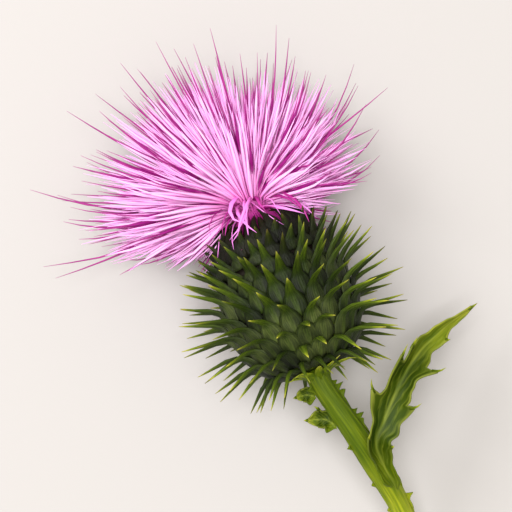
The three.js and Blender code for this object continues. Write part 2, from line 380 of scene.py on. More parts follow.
def bump(tree, shader, height, strength, distance):
    node = tree.nodes.new("ShaderNodeBump")
    node.inputs["Strength"].default_value = strength
    node.inputs["Distance"].default_value = distance
    tree.links.new(height, node.inputs["Height"])
    tree.links.new(node.outputs["Normal"], shader.inputs["Normal"])


def let_light_through(tree, shader, colour, share):
    """Thin petals and leaves glow a little with the light that falls on their far side."""
    through = tree.nodes.new("ShaderNodeBsdfTranslucent")
    both = tree.nodes.new("ShaderNodeMixShader")
    both.inputs["Fac"].default_value = share
    tree.links.new(colour, through.inputs["Color"])
    tree.links.new(shader.outputs["BSDF"], both.inputs[1])
    tree.links.new(through.outputs["BSDF"], both.inputs[2])
    tree.links.new(both.outputs["Shader"], tree.nodes["Material Output"].inputs["Surface"])


# %% The green finishes
def bract_finish():
    made, tree, shader = finish("bract_green", 0.55, Specular_IOR_Level=0.14)
    along, across = along_and_across(tree)
    # Darker towards the foot: the bract's own dark green, deepened with painted shade.
    body = ramp(
        tree,
        along,
        [
            (0.0, (0.003, 0.006, 0.001)),
            (0.24, (0.008, 0.015, 0.002)),
            (0.34, (0.012, 0.023, 0.003)),
            (0.54, (0.034, 0.06, 0.004)),
            (0.76, (0.062, 0.1, 0.006)),
            (0.88, (0.17, 0.22, 0.016)),
            (1.0, (0.45, 0.43, 0.1)),
        ],
    )
    # A paler line along the middle of each bract is a painted highlight on its keel.
    midrib = ramp(tree, across, [(0.36, (0, 0, 0)), (0.5, (0.8, 0.8, 0.8)), (0.64, (0, 0, 0))])
    painted_keel_highlight = blend(tree, "ADD", 1.0, body, (0.014, 0.026, 0.002))
    ribbed = blend(tree, "MIX", midrib, body, painted_keel_highlight)
    patches = ramp(tree, noise(tree, 75), [(0.46, (0, 0, 0)), (0.72, (0.75, 0.75, 0.75))])
    only_body = ramp(tree, along, [(0.3, (1, 1, 1)), (0.5, (0, 0, 0))])
    bloom = blend(tree, "MULTIPLY", 1.0, patches, only_body)
    dusty = blend(tree, "MIX", bloom, ribbed, (0.09, 0.12, 0.05))
    fibres = noise(tree, 1, (4, 14, 1), "UV", 4)
    blotches = ramp(tree, fibres, [(0.36, (0.45, 0.5, 0.45)), (0.64, (1.6, 1.5, 1.4))])
    dusty = blend(tree, "MULTIPLY", 0.9, dusty, blotches)
    # Tint tones: random differences between copies, and painted shade where the tint is low.
    tint_tones_and_painted_shade = [(0, (0.14, 0.1, 0.07)), (0.12, (0.33, 0.36, 0.2)), (1, (1.3, 1.24, 0.85))]
    colour = blend(tree, "MULTIPLY", 1.0, dusty, ramp(tree, tint(tree), tint_tones_and_painted_shade))
    tree.links.new(colour, shader.inputs["Base Color"])
    bump(tree, shader, noise(tree, 1, (5, 12, 1), "UV", 4), 0.7, 0.3 * MM)
    return made


def stem_finish():
    made, tree, shader = finish("stem_green", 0.5, Specular_IOR_Level=0.12)
    along, _ = along_and_across(tree)
    length = ramp(
        tree,
        along,
        [
            (0.0, (0.08, 0.12, 0.002)),
            (0.35, (0.09, 0.135, 0.001)),
            (0.6, (0.26, 0.31, 0.01)),
            (1.0, (0.46, 0.48, 0.06)),
        ],
    )
    fibres = ramp(
        tree,
        noise(tree, 1, (5, 9, 1), "UV", 4),
        [(0.32, (0.5, 0.62, 0.4)), (0.5, (1, 1, 1)), (0.68, (1.7, 1.5, 1.9))],
    )
    streaked = blend(tree, "MULTIPLY", 0.9, length, fibres)
    patchy = ramp(tree, noise(tree, 90), [(0.35, (0.61, 0.67, 0.5)), (0.65, (0.9, 0.87, 1.1))])
    colour = blend(tree, "MULTIPLY", 0.8, streaked, patchy)
    tree.links.new(colour, shader.inputs["Base Color"])
    bump(tree, shader, noise(tree, 1, (4, 18, 1), "UV", 4), 0.6, 0.4 * MM)
    let_light_through(tree, shader, colour, 0.08)
    return made


def leaf_finish():
    made, tree, shader = finish("leaf_green", 0.5, Specular_IOR_Level=0.12)
    along, across = along_and_across(tree)
    length = ramp(
        tree,
        along,
        [
            (0.0, (0.16, 0.22, 0.006)),
            (0.16, (0.1, 0.15, 0.003)),
            (0.3, (0.038, 0.068, 0.001)),
            (0.6, (0.033, 0.06, 0.001)),
            (0.82, (0.15, 0.2, 0.01)),
            (1.0, (0.38, 0.4, 0.06)),
        ],
    )
    pale = (0.2, 0.25, 0.035)
    rib = ramp(tree, across, [(0.42, (0, 0, 0)), (0.5, (0.8, 0.8, 0.8)), (0.58, (0, 0, 0))])
    ribbed = blend(tree, "MIX", rib, length, pale)
    away = math_node(tree, "ABSOLUTE", math_node(tree, "SUBTRACT", across, 0.5))
    climb = math_node(tree, "MULTIPLY", along, 9)
    slant = math_node(tree, "SUBTRACT", climb, math_node(tree, "MULTIPLY", away, 5))
    bent = math_node(tree, "ADD", slant, noise(tree, 3, (4, 4, 1), "UV"))
    saw = math_node(tree, "PINGPONG", bent, 0.5)
    veins = ramp(tree, saw, [(0.0, (0.36, 0.36, 0.36)), (0.24, (0, 0, 0))])
    veined = blend(tree, "MIX", veins, ribbed, pale)
    rim = ramp(tree, away, [(0.43, (0, 0, 0)), (0.5, (0.55, 0.55, 0.55))])
    past_foot = ramp(tree, along, [(0.2, (0, 0, 0)), (0.4, (1, 1, 1))])
    margin = blend(tree, "MULTIPLY", 1.0, rim, past_foot)
    edged = blend(tree, "MIX", margin, veined, (0.28, 0.32, 0.06))
    spots = noise(tree, 1, (7, 5, 1), "UV", 4)
    patchy = ramp(tree, spots, [(0.35, (0.38, 0.47, 0.2)), (0.65, (1.1, 1.0, 0.7))])
    colour = blend(tree, "MULTIPLY", 0.9, edged, patchy)
    tree.links.new(colour, shader.inputs["Base Color"])
    bump(tree, shader, saw, 0.5, 0.25 * MM)
    let_light_through(tree, shader, colour, 0.15)
    return made


# %% The pink finishes
def petal_finish(name, stops, share):
    """A thin pink part: a ramp along it, changed by its tint, with light shining through."""
    made, tree, shader = finish(name, 0.6, Specular_IOR_Level=0.2)
    along, _ = along_and_across(tree)
    base = ramp(tree, along, stops)
    # Tint tones: random differences between florets, and painted shade on the outermost ones.
    tint_tones_and_painted_shade = [(0, (0.8, 0.45, 0.76)), (0.4, (1.0, 0.9, 0.98)), (1, (1.0, 1.08, 1.0))]
    colour = blend(tree, "MULTIPLY", 1.0, base, ramp(tree, tint(tree), tint_tones_and_painted_shade))
    fibres = noise(tree, 1, (2, 5, 1), "UV")
    streak = ramp(tree, fibres, [(0.35, (0.97, 0.8, 0.95)), (0.6, (1, 1, 1))])
    fine = blend(tree, "MULTIPLY", 0.8, colour, streak)
    tree.links.new(fine, shader.inputs["Base Color"])
    let_light_through(tree, shader, fine, share)
    return made


PINK_FINISHES = [
    # The tube and the lobes darken towards their feet: partly the florets' own deeper colour,
    # partly painted shade at the base of the tuft.
    petal_finish(
        "floret_tube",
        [(0.0, (0.2, 0.005, 0.1)), (0.55, (0.36, 0.02, 0.22)), (1.0, (0.66, 0.12, 0.46))],
        0.2,
    ),
    petal_finish(
        "petal_lobe",
        [
            (0.0, (0.52, 0.06, 0.32)),
            (0.2, (0.8, 0.24, 0.62)),
            (0.42, (1.0, 0.56, 0.92)),
            (0.75, (1.0, 0.63, 0.96)),
            (1.0, (0.94, 0.52, 0.94)),
        ],
        0.2,
    ),
    petal_finish(
        "anther_tube",
        [(0.0, (0.54, 0.07, 0.38)), (0.35, (0.22, 0.003, 0.14)), (1.0, (0.27, 0.015, 0.19))],
        0.1,
    ),
    petal_finish(
        "style_wisp",
        [(0.0, (0.42, 0.03, 0.26)), (0.6, (0.34, 0.04, 0.23)), (1.0, (0.42, 0.15, 0.3))],
        0.2,
    ),
    # The packed feet are painted near black as shade deep in the head, with a pink rim at their
    # top.
    petal_finish(
        "packed_feet",
        [(0.0, (0.012, 0.016, 0.005)), (0.9, (0.012, 0.014, 0.005)), (1.0, (0.25, 0.03, 0.1))],
        0.1,
    ),
]
TUBE, LOBE, ANTHER, STYLE, FEET = range(len(PINK_FINISHES))
bract_green = bract_finish()
stem_green = stem_finish()
leaf_green = leaf_finish()
print("finishes:", [m.name for m in (bract_green, stem_green, leaf_green, *PINK_FINISHES)])

# %% [markdown]
# ## The bracts
# A thistle's head is wrapped in overlapping scales. Each has a broad lower half that lies on
# the scales inside it, a raised midrib, and a hard spine that flares away. One is drawn as a
# rod with eight sides and a keel. Its copies follow a line that starts on the barrel, climbs
# over the next tier, and turns outwards to the angle that its tier has: backwards next to the
# stem, straight out at the widest part, and almost upright at the mouth. Those on top are
# shorter than those at the sides. The last tiers, and the innermost ones that turn in over the
# mouth, are darkened with painted shade, which gives the head its dark neck.

# %% Model one bract
one_bract = drawn_rod(
    8,
    [
        (0.0, 1.5 * MM, 0.12 * MM),
        (0.1, 2.15 * MM, 0.16 * MM),
        (0.22, 2.25 * MM, 0.2 * MM),
        (0.32, 1.75 * MM, 0.26 * MM),
        (0.4, 1.05 * MM, 0.32 * MM),
        (0.56, 0.78 * MM, 0.3 * MM),
        (0.75, 0.5 * MM, 0.2 * MM),
        (0.91, 0.2 * MM, 0.11 * MM),
        (1.0, 0.03 * MM, 0.03 * MM),
    ],
    keel=0.7,
)
print("one bract has", len(one_bract.polygons), "faces")

# %% Lay the tiers on the barrel
TIERS = 10
BRACTS_PER_TIER = 19
FIRST_LEAN, LAST_LEAN = math.radians(150), math.radians(28)
BODY_SHARE = 0.34
BRACT_TILT = math.radians(7)
TILT_CHANCE = 0.09
SWAY_CHANCE = 0.6 * MM
FULL_WIDTH_RADIUS = 8.0 * MM
TIERS_WITHOUT_PAINTED_SHADE = 7
BRACT_LENGTHS = [10.5, 12.3, 13.4, 13.6, 13.2, 12.4, 11.4, 9.8, 7.8, 5.8]
TABLE_GAP = 0.15 * MM


def bract_line(foot_share, length, stray):
    """The way of a bract in the plane of the head's axis: X outwards, Z along the axis."""
    steps = 40
    body = BODY_SHARE * length
    place = profile.at(foot_share - 0.02) + Vector((0.3 * MM, 0, 0))
    height = profile.at(foot_share + 0.8 * body / profile.length).z / HEAD_LENGTH
    lean = mix(FIRST_LEAN, LAST_LEAN, min(height, 1.05) ** 0.7) + stray
    points = [place]
    for i in range(steps):
        way = (i + 0.5) / steps
        slope = profile.heading(min(foot_share + way * length / profile.length, 0.96))
        hugging = math.atan2(slope.x, slope.z) + BRACT_TILT
        angle = mix(hugging, lean, smooth((way - 0.2) / 0.36))
        place = place + Vector((math.sin(angle), 0, math.cos(angle))) * (length / steps)
        points.append(place)
    return Line(points)


def round_the_head(line, turn, width, sway):
    """Bends a bract along its line and wraps it round the head's axis."""

    def place(co):
        heading = line.heading(co.z)
        out = Vector((heading.z, 0, -heading.x))
        spot = line.at(co.z) + out * co.y
        angle = turn + (co.x * width + sway * co.z**2) / max(spot.x, 2 * MM)
        return HEAD @ Vector((spot.x * math.cos(angle), spot.x * math.sin(angle), spot.z))

    return place


def close_the_neck(pile):
    """The innermost bracts stand up round the florets, turn in over them and are painted dark with
    the lowest tint, as shade.
    """
    steps = 20
    for i in range(2 * BRACTS_PER_TIER):
        turn = math.pi * (i + chance.uniform(-0.2, 0.2)) / BRACTS_PER_TIER
        length = chance.uniform(9, 11) * MM
        last = math.radians(-76 + 8 * (i % 2))
        points = [profile.at(chance.uniform(0.86, 0.9)) - Vector((0.1 * MM * (i % 2), 0, 0))]
        for k in range(steps):
            angle = mix(math.radians(2), last, smooth(k / (steps - 1)))
            step = Vector((math.sin(angle), 0, math.cos(angle))) * length / steps
            points.append(points[-1] + step)
        place = round_the_head(Line(points), turn, 0.85, chance.gauss(0, 0.4 * MM))
        # Tint 0: the darkest painted shade, on the bracts of the neck.
        pile.pour(one_bract, place, 0, 0)


def bract_tint_and_painted_shade(tier):
    """The tint of one bract: any in the lower tiers, ever darker with painted shade in the last
    ones.
    """
    if tier < TIERS_WITHOUT_PAINTED_SHADE:
        return chance.uniform(0.12, 1.0)
    return max(chance.uniform(0, 0.4) * (9.2 - tier) / 2.2, 0.03)


chance = random.Random(5)
for tier in range(TIERS):
    foot_share = (tier + 0.5) / TIERS - 0.02
    pile = Pile()
    for i in range(BRACTS_PER_TIER):
        turn = 2 * math.pi * (i + tier % 2 / 2 + chance.uniform(-0.12, 0.12)) / BRACTS_PER_TIER
        stray = chance.gauss(0, TILT_CHANCE)
        length = BRACT_LENGTHS[tier] * MM * chance.uniform(0.9, 1.06)
        width = min(1.0, profile.at(foot_share).x / FULL_WIDTH_RADIUS) * chance.uniform(0.88, 1.05)
        sway = chance.gauss(0, SWAY_CHANCE)
        on_top = max(0.0, math.sin(turn))
        length *= 1 - on_top * mix(0.08, 0.32, smooth((tier - 4) / 4))
        foot = foot_share + chance.uniform(-0.012, 0.012)
        place = round_the_head(bract_line(foot, length, stray), turn, width, sway)
        while place(Vector((0, 0, 1))).z < TABLE_GAP:
            length *= 0.95
            place = round_the_head(bract_line(foot, length, stray), turn, width, sway)
        pile.pour(one_bract, place, 0, bract_tint_and_painted_shade(tier))
    if tier == TIERS - 1:
        close_the_neck(pile)
    number = f"{tier + 1:02d}"
    pile.piece("bracts_of_tier_" + number, [bract_green], ["bract_tier_" + number], "bract")

# %% [markdown]
# ## The florets
# Each pink thread of the tuft is a whole flower: a tube that ends in five narrow lobes, a
# dark magenta tube of anthers among them, and a thin style that comes out of it and makes
# the wisps round the tuft. The lobes leave one side open, and the anthers lean out of it. A
# few florets are modelled standing straight up with a height of one, their lobes opened by
# different amounts, and every copy is bent along an arch of its own, its open side mostly
# upwards.


# %% Model a few florets
def strand(sides, widths, thicknesses=None):
    """A thin rod of height one, given half widths and half thicknesses in millimetres."""
    last = len(widths) - 1
    pairs = zip(widths, thicknesses or widths)
    return drawn_rod(sides, [(i / last, w * MM, t * MM) for i, (w, t) in enumerate(pairs)])


tube = strand(5, [0.18, 0.18, 0.18, 0.2, 0.26])
lobe = strand(4, [0.13, 0.26, 0.42, 0.42, 0.26, 0.03], [0.08, 0.08, 0.07, 0.07, 0.05, 0.03])
anther = strand(5, [0.04, 0.26, 0.36, 0.34, 0.22, 0.08])
style = strand(4, [0.2, 0.16, 0.11, 0.03])
LOBES = 5
LOBE_GAP = 1.4
ANTHERS_FORWARD = 0.7 * MM
TUBE_RIM = 0.22 * MM
JOIN = 0.04


def stretch(low, high, forward=0.0):
    """Moves a strand of height one to stand between two heights."""
    return lambda co: Vector((co.x, co.y + forward, mix(low, high, co.z)))


def opened(low, high, turn, splay, curl):
    """Stands a lobe at the rim of the tube and opens it outwards."""

    def place(co):
        out = TUBE_RIM + splay * math.sin(1.3 * co.z) + co.y
        side = co.x + curl * co.z**2
        return Vector(
            (
                out * math.cos(turn) - side * math.sin(turn),
                out * math.sin(turn) + side * math.cos(turn),
                mix(low, high, co.z),
            )
        )

    return place


def make_floret(splay, tube_top, lobe_top, anther_low, anther_top, style_top):
    pile = Pile()
    pile.pour(tube, stretch(0, tube_top), TUBE)
    for i in range(LOBES):
        place = i + 1.2 + chance.uniform(-0.2, 0.2)
        turn = math.pi / 2 + 2 * math.pi * place / (LOBES + LOBE_GAP)
        wide = splay * MM * chance.uniform(0.5, 1.5)
        high = lobe_top + chance.uniform(-0.07, 0.05)
        pile.pour(lobe, opened(tube_top - JOIN, high, turn, wide, chance.gauss(0, 0.5 * MM)), LOBE)
    pile.pour(anther, stretch(anther_low, anther_top, ANTHERS_FORWARD), ANTHER)
    pile.pour(style, stretch(anther_top - JOIN, style_top, ANTHERS_FORWARD), STYLE)
    return pile.mesh("floret")


chance = random.Random(8)
florets = [
    make_floret(1.0, 0.3, 0.82, 0.5, 0.76, 1.1),
    make_floret(1.2, 0.28, 0.84, 0.56, 0.78, 0.94),
    make_floret(1.5, 0.3, 0.84, 0.42, 0.62, 0.82),
    make_floret(1.1, 0.28, 0.86, 0.6, 0.8, 0.98),
    make_floret(1.6, 0.3, 0.8, 0.48, 0.72, 0.84),
    make_floret(1.7, 0.3, 0.88, 0.38, 0.56, 0.78),
]
print("one floret has", len(florets[0].polygons), "faces")

# %% [markdown]
# ## The tuft
# The florets leave the head's mouth, draw together in a narrow waist above it and then
# spread, so that their tips lie on a flattened ball. The ones on top lean over less than the
# ones at the sides, which leaves the dark neck of the head in sight. The outermost are the
# shortest and darkest, darkened partly as their own deeper colour and partly as painted shade,
# and the ones underneath lie on the table. Their packed feet fill the head, painted near black
# as shade, and are spun as one tube for each ring.

# %% Fill the rings
FLORETS_IN_RING = [18, 32, 46, 58, 68, 74, 78, 78]
RINGS = len(FLORETS_IN_RING)
SPRAY_RADIUS = 29.2 * MM
SPRAY_FLATNESS = 0.6
SPRAY_LEAN = 0.1
FIRST_SPREAD, LAST_SPREAD = math.radians(4), math.radians(116)
NEAR_SIDE_HOLDS_BACK = 0.5
SHORTEST_REACH, LONGEST_REACH = 0.88, 1.06
TIP_BEND = 0.11
DROOP_FROM, DROOP_OVER = math.radians(80), math.radians(34)
DROOP_SHORTENS = 0.5
WAIST = 0.3
WAIST_HEIGHT = 5.7 * MM
RECEPTACLE_HEIGHT = 6.5 * MM
FEET_FILL = 0.95
TUFT_FLOOR = 6 * MM
STRAND_FLOOR = 2.5 * MM
STEM_FLOOR = 1 * MM
LOWEST = 0.3 * MM
OUTER_SHARE = 0.85


def pressed_up(co, floor=TUFT_FLOOR):
    """What would hang below the floor is pressed up, always above the table."""
    if co.z >= floor:
        return co
    depth = floor - LOWEST
    return Vector((co.x, co.y, LOWEST + depth * math.exp((co.z - floor) / depth)))


def packed_feet(ring):
    """The tube of packed feet, spun from the outline of its wall."""
    heights = [mix(RECEPTACLE_HEIGHT + 0.3 * MM, HEAD_LENGTH, i / 5) for i in range(6)]
    reach = [(z, FEET_FILL * head_radius(z / HEAD_LENGTH) / RINGS) for z in heights]
    outer = [Vector((r * (ring + 1), 0, z)) for z, r in reach]
    inner = [Vector((r * ring + 0.05 * MM, 0, z)) for z, r in reach]
    shape = bmesh.new()
    corners = [shape.verts.new(co) for co in [*outer, *reversed(inner)]]
    edges = [shape.edges.new(pair) for pair in zip(corners, corners[1:] + corners[:1])]
    turn = {"cent": (0, 0, 0), "axis": (0, 0, 1), "dvec": (0, 0, 0), "angle": 2 * math.pi}
    bmesh.ops.spin(shape, geom=corners + edges, steps=32, use_merge=True, **turn)
    bmesh.ops.recalc_face_normals(shape, faces=shape.faces)
    uv = shape.loops.layers.uv.new("UVMap")
    for face in shape.faces:
        for loop in face.loops:
            loop[uv].uv = (loop.vert.co.z / HEAD_LENGTH, 0.5)
    return stored(shape, "feet")


def floret_arch(ring, share, turn):
    """The way of one floret: from its place in the mouth, through the narrow waist of the
    bundle, to its place on the ball. Its end bends back towards the head's axis."""
    near = max(0.0, math.sin(turn))
    spread = mix(FIRST_SPREAD, LAST_SPREAD, share) * (1 - NEAR_SIDE_HOLDS_BACK * near**2)
    round_axis = Vector((math.cos(turn), math.sin(turn), 0))
    foot = MOUTH_RADIUS * (ring + 0.5 + chance.uniform(-0.2, 0.2)) / RINGS
    start = round_axis * foot + Vector((0, 0, HEAD_LENGTH - 0.6 * MM))
    waist = round_axis * foot * WAIST + Vector((0, 0, HEAD_LENGTH + WAIST_HEIGHT))
    out = round_axis * math.sin(spread) + Vector((SPRAY_LEAN, 0, math.cos(spread)))
    out.y *= SPRAY_FLATNESS
    drooping = smooth((spread - DROOP_FROM) / DROOP_OVER)
    out.x -= 0.6 * SPRAY_LEAN * drooping
    reach = SPRAY_RADIUS * chance.uniform(SHORTEST_REACH, LONGEST_REACH)
    reach *= 1 - DROOP_SHORTENS * drooping
    bend = Vector((0, 0, reach * TIP_BEND * math.sin(spread) * chance.uniform(-0.2, 1.6)))
    stray = Vector([chance.gauss(0, 1 * MM) for _ in range(3)])
    ahead = waist + Vector((0, 0, 0.1 * reach)) + out * 0.2 * reach
    late = waist + out * 0.66 * reach - bend * 0.3 + stray
    tip = pressed_up(HEAD @ (waist + out * reach + bend + stray))
    return Line([HEAD @ start, *bow(HEAD @ waist, HEAD @ ahead, HEAD @ late, tip)])


def in_head(co):
    return HEAD @ co


def above_table(place, floor):
    """A place for each corner, with what would hang below the floor pressed up."""
    return lambda co: pressed_up(place(co), floor)


chance = random.Random(21)
piles = []
for ring, count in enumerate(FLORETS_IN_RING):
    pile = Pile()
    pile.pour(packed_feet(ring), in_head, FEET)
    for i in range(count):
        turn = 2 * math.pi * (i + 0.382 * ring + chance.uniform(-0.3, 0.3)) / count
        share = min(max((ring + chance.uniform(-0.5, 0.5)) / (RINGS - 1), 0), 1.03)
        arch = floret_arch(ring, share, turn)
        aside = Vector([chance.gauss(0, 0.8) for _ in range(3)])
        place = above_table(bent_along(arch, UP + aside), STRAND_FLOOR)
        # The tint differs at random; the outermost florets are darkened, partly their own deeper
        # colour and partly painted shade.
        shade = chance.uniform(0.35, 1) * (1 - 0.65 * smooth((share - 0.72) / 0.25))
        kind = chance.choice(florets[1:] if share > OUTER_SHARE else florets)
        pile.pour(kind, place, None, shade)
    piles.append(pile)

# %% [markdown]
# Some lobes of the florets on top have curled back from the waist over the head's dark neck.
# Each is one wide strand, made narrower by a chance amount and bent along a short arch.

# %% Curl some lobes over the neck
petal = strand(
    6,
    [0.3, 0.36, 0.5, 0.62, 0.5, 0.28, 0.03],
    [0.1, 0.12, 0.1, 0.1, 0.08, 0.07, 0.03],
)
CURLED = 26


def made_narrower(place, thin):
    return lambda co: place(Vector((co.x * thin, co.y, co.z)))


for i in range(CURLED):
    turn = math.radians(mix(34, 150, (i + chance.uniform(-0.5, 1.5)) / CURLED))
    out = Vector((math.cos(turn), math.sin(turn), 0))
    aside = Vector((-out.y, out.x, 0))
    start = out * 1.2 * MM + Vector((0, 0, HEAD_LENGTH + chance.uniform(4, 7.6) * MM))
    over = out * chance.uniform(6, 10) * MM
    over.z = start.z + chance.uniform(-2, 2.5) * MM
    hang = out * chance.uniform(9.4, 11) * MM + aside * chance.gauss(0, 3 * MM)
    hang.z = HEAD_LENGTH + chance.uniform(-2.2, 3.2) * MM
    late = over.lerp(hang, 0.6) + aside * chance.gauss(0, 2.4 * MM)
    arch = Line(bow(HEAD @ start, HEAD @ over, HEAD @ late, HEAD @ hang))
    bend = bent_along(arch, HEAD.to_3x3() @ (out + aside * chance.gauss(0, 0.5)))
    thin = chance.choice([0.3, 0.45, 0.6, 0.8])
    look = chance.choice([TUBE, LOBE])
    piles[-1].pour(petal, made_narrower(bend, thin), look, chance.uniform(0.1, 0.7))

for ring, pile in enumerate(piles):
    number = str(ring + 1)
    pile.piece("florets_of_ring_" + number, PINK_FINISHES, ["floret_ring_" + number], "floret")

# %% [markdown]
# ## The stem
# A thistle's stem is ribbed, and the edges of its leaves run down it as narrow wings with
# spiny teeth. The rod is drawn from a disc, and its corners are moved in and out for ribs
# that wind a little. Each wing is a grid whose outer edge rises into teeth, bent to the
# stem's side and given a thickness with the solidify operator.

# %% Draw the ribbed rod
STEM_RADIUS = 1.9 * MM
STEM_LINE = [
    (3.2, -5.8, 0.3),
    (7.6, -12.1, -0.6),
    (11.7, -18.4, -2.8),
    (15.3, -24.7, -6.7),
    (18.5, -31.9, -11.7),
    (21.2, -39.1, -17.2),
]
stem_line = curve_through(
    [head_base - head_axis * 0.3 * MM, head_base - head_axis * 2.8 * MM]
    + [head_base + Vector(step) * MM for step in STEM_LINE]
)


def stem_width(share):
    """Half the width of the stem: wider at the head and where the leaf leaves it."""
    fork = math.exp(-(((share - 0.4) / 0.15) ** 2))
    return STEM_RADIUS * (0.95 + 0.22 * math.exp(-share / 0.03) + 0.2 * fork)


def ribbed(co):
    """Moves a corner in or out: nine fine ribs and five broad ones run round the rod."""
    turn = math.atan2(co.y, co.x)
    out = 1 + 0.025 * math.cos(9 * turn + 5 * co.z) + 0.03 * math.cos(5 * turn - 4 * co.z)
    return Vector((co.x * out, co.y * out, co.z))


steps = 48
stations = [(i / steps, stem_width(i / steps), stem_width(i / steps)) for i in range(steps + 1)]
rod = drawn_rod(36, stations)
on_stem = bent_along(stem_line, UP)
stem_pile = Pile()
stem_pile.pour(rod, lambda co: pressed_up(on_stem(ribbed(co)), STEM_FLOOR), 0)

# %% Add the toothed wings
# Each tooth's share of the way down the stem and its height in millimetres.
WING_TEETH = {
    1: [(0.07, 0.9), (0.088, 1.6), (0.115, 1.1), (0.2, 0.9), (0.222, 1.5), (0.24, 0.7)]
    + [(0.32, 1.1), (0.335, 1.8), (0.6, 1.2), (0.7, 0.6), (0.8, 0.8), (0.9, 0.6)],
    -1: [(0.05, 0.9), (0.3, 0.7), (0.48, 0.5), (0.62, 0.5), (0.76, 0.7), (0.88, 0.5)],
}
WING_BASE = 0.15 * MM
WING_THICKNESS = 0.35 * MM


def sheet(along, across, thickness, place, name):
    """A thin sheet: a grid with its place along and across it in its UV map, moved into shape
    and then given a thickness."""
    shape = bmesh.new()
    shape.loops.layers.uv.new("UVMap")
    bmesh.ops.create_grid(shape, x_segments=along, y_segments=across, size=0.5, calc_uvs=True)
    for corner in shape.verts:
        corner.co = place(corner.co.x + 0.5, 2 * corner.co.y)
    bmesh.ops.recalc_face_normals(shape, faces=shape.faces)
    bmesh.ops.solidify(shape, geom=shape.faces[:], thickness=thickness)
    bmesh.ops.recalc_face_normals(shape, faces=shape.faces)
    return stored(shape, name)


def tooth_edge(share, teeth, width=0.018, sharp=1.7):
    """How far the edge stands out, in millimetres. Each tooth, given by its place and height,
    leans back towards the start of the edge."""
    rise = 0.0
    for place, height in teeth:
        past = share - place
        reach = width * (0.5 if past < 0 else 1.1)
        rise = max(rise, height * max(0.0, 1 - abs(past) / reach) ** sharp)
    return rise


def wing(side):
    teeth = WING_TEETH[side]

    def place(share, across):
        edge = (across + 1) / 2
        wide = stem_width(share)
        out = mix(0.7 * wide, wide + WING_BASE + tooth_edge(share, teeth) * MM, edge)
        lift = (0.3 + 0.35 * math.sin(50 * share + side)) * MM * edge
        return pressed_up(on_stem(Vector((-side * out, lift, share))), STEM_FLOOR)

    return sheet(260, 5, WING_THICKNESS, place, "wing")


for side in (1, -1):
    stem_pile.pour(wing(side), lambda co: co.copy(), 0)

# %% Wrap the joint in small pale leaflets
leaflet = strand(6, [0.9, 1.15, 1.0, 0.65, 0.3, 0.03], [0.15, 0.16, 0.16, 0.14, 0.1, 0.03])
LEAFLETS = 11
for i in range(LEAFLETS):
    turn = 2 * math.pi * (i + chance.uniform(-0.2, 0.2)) / LEAFLETS
    reach = chance.uniform(6, 8.5) * MM
    way = Line(
        [
            Vector((1.6 * MM, 0, -2.6 * MM)),
            Vector((2.1 * MM, 0, -1.2 * MM)),
            Vector((3.2 * MM, 0, -0.6 * MM)),
            Vector((0.75 * reach, 0, -0.2 * MM)),
            Vector((reach, 0, chance.uniform(-1.2, 0.2) * MM)),
        ]
    )
    stem_pile.pour(leaflet, round_the_head(way, turn, 1, chance.gauss(0, 0.6 * MM)), 0, 0.8)
stem_pile.piece("ribbed_stem", [stem_green], ["stem"], "stem")

# %% [markdown]
# ## The leaves
# The stem leaf is long and narrow, folded along its midrib like a gutter, with lobes that
# end in spines, and its foot runs down the stem. A grid is moved to the leaf's outline, each
# half is turned up by the fold, and the edge waves. Each lobe is pulled out of the edge and
# leans towards the leaf's tip, and a small drawn spine ends it.


# %% Shape a folded leaf
def on_surface(share, turn, lift=0.0):
    """A place on the stem: the turn goes from its upper side to its right, seen by someone
    who looks along it towards the flower."""
    ahead = -stem_line.heading(share)
    right = ahead.cross(UP).normalized()
    out = right.cross(ahead) * math.cos(turn) + right * math.sin(turn)
    return stem_line.at(share) + out * (stem_width(share) + lift)


LOBE_LEAN = 0.014
LOBE_WIDTH = 0.05
LOBE_SHARPNESS = 1.3
LEAF_WAVE = 32 * MM
LEAF_THICKNESS = 0.3 * MM
spike = strand(5, [0.36, 0.3, 0.16, 0.02], [0.2, 0.17, 0.1, 0.02])


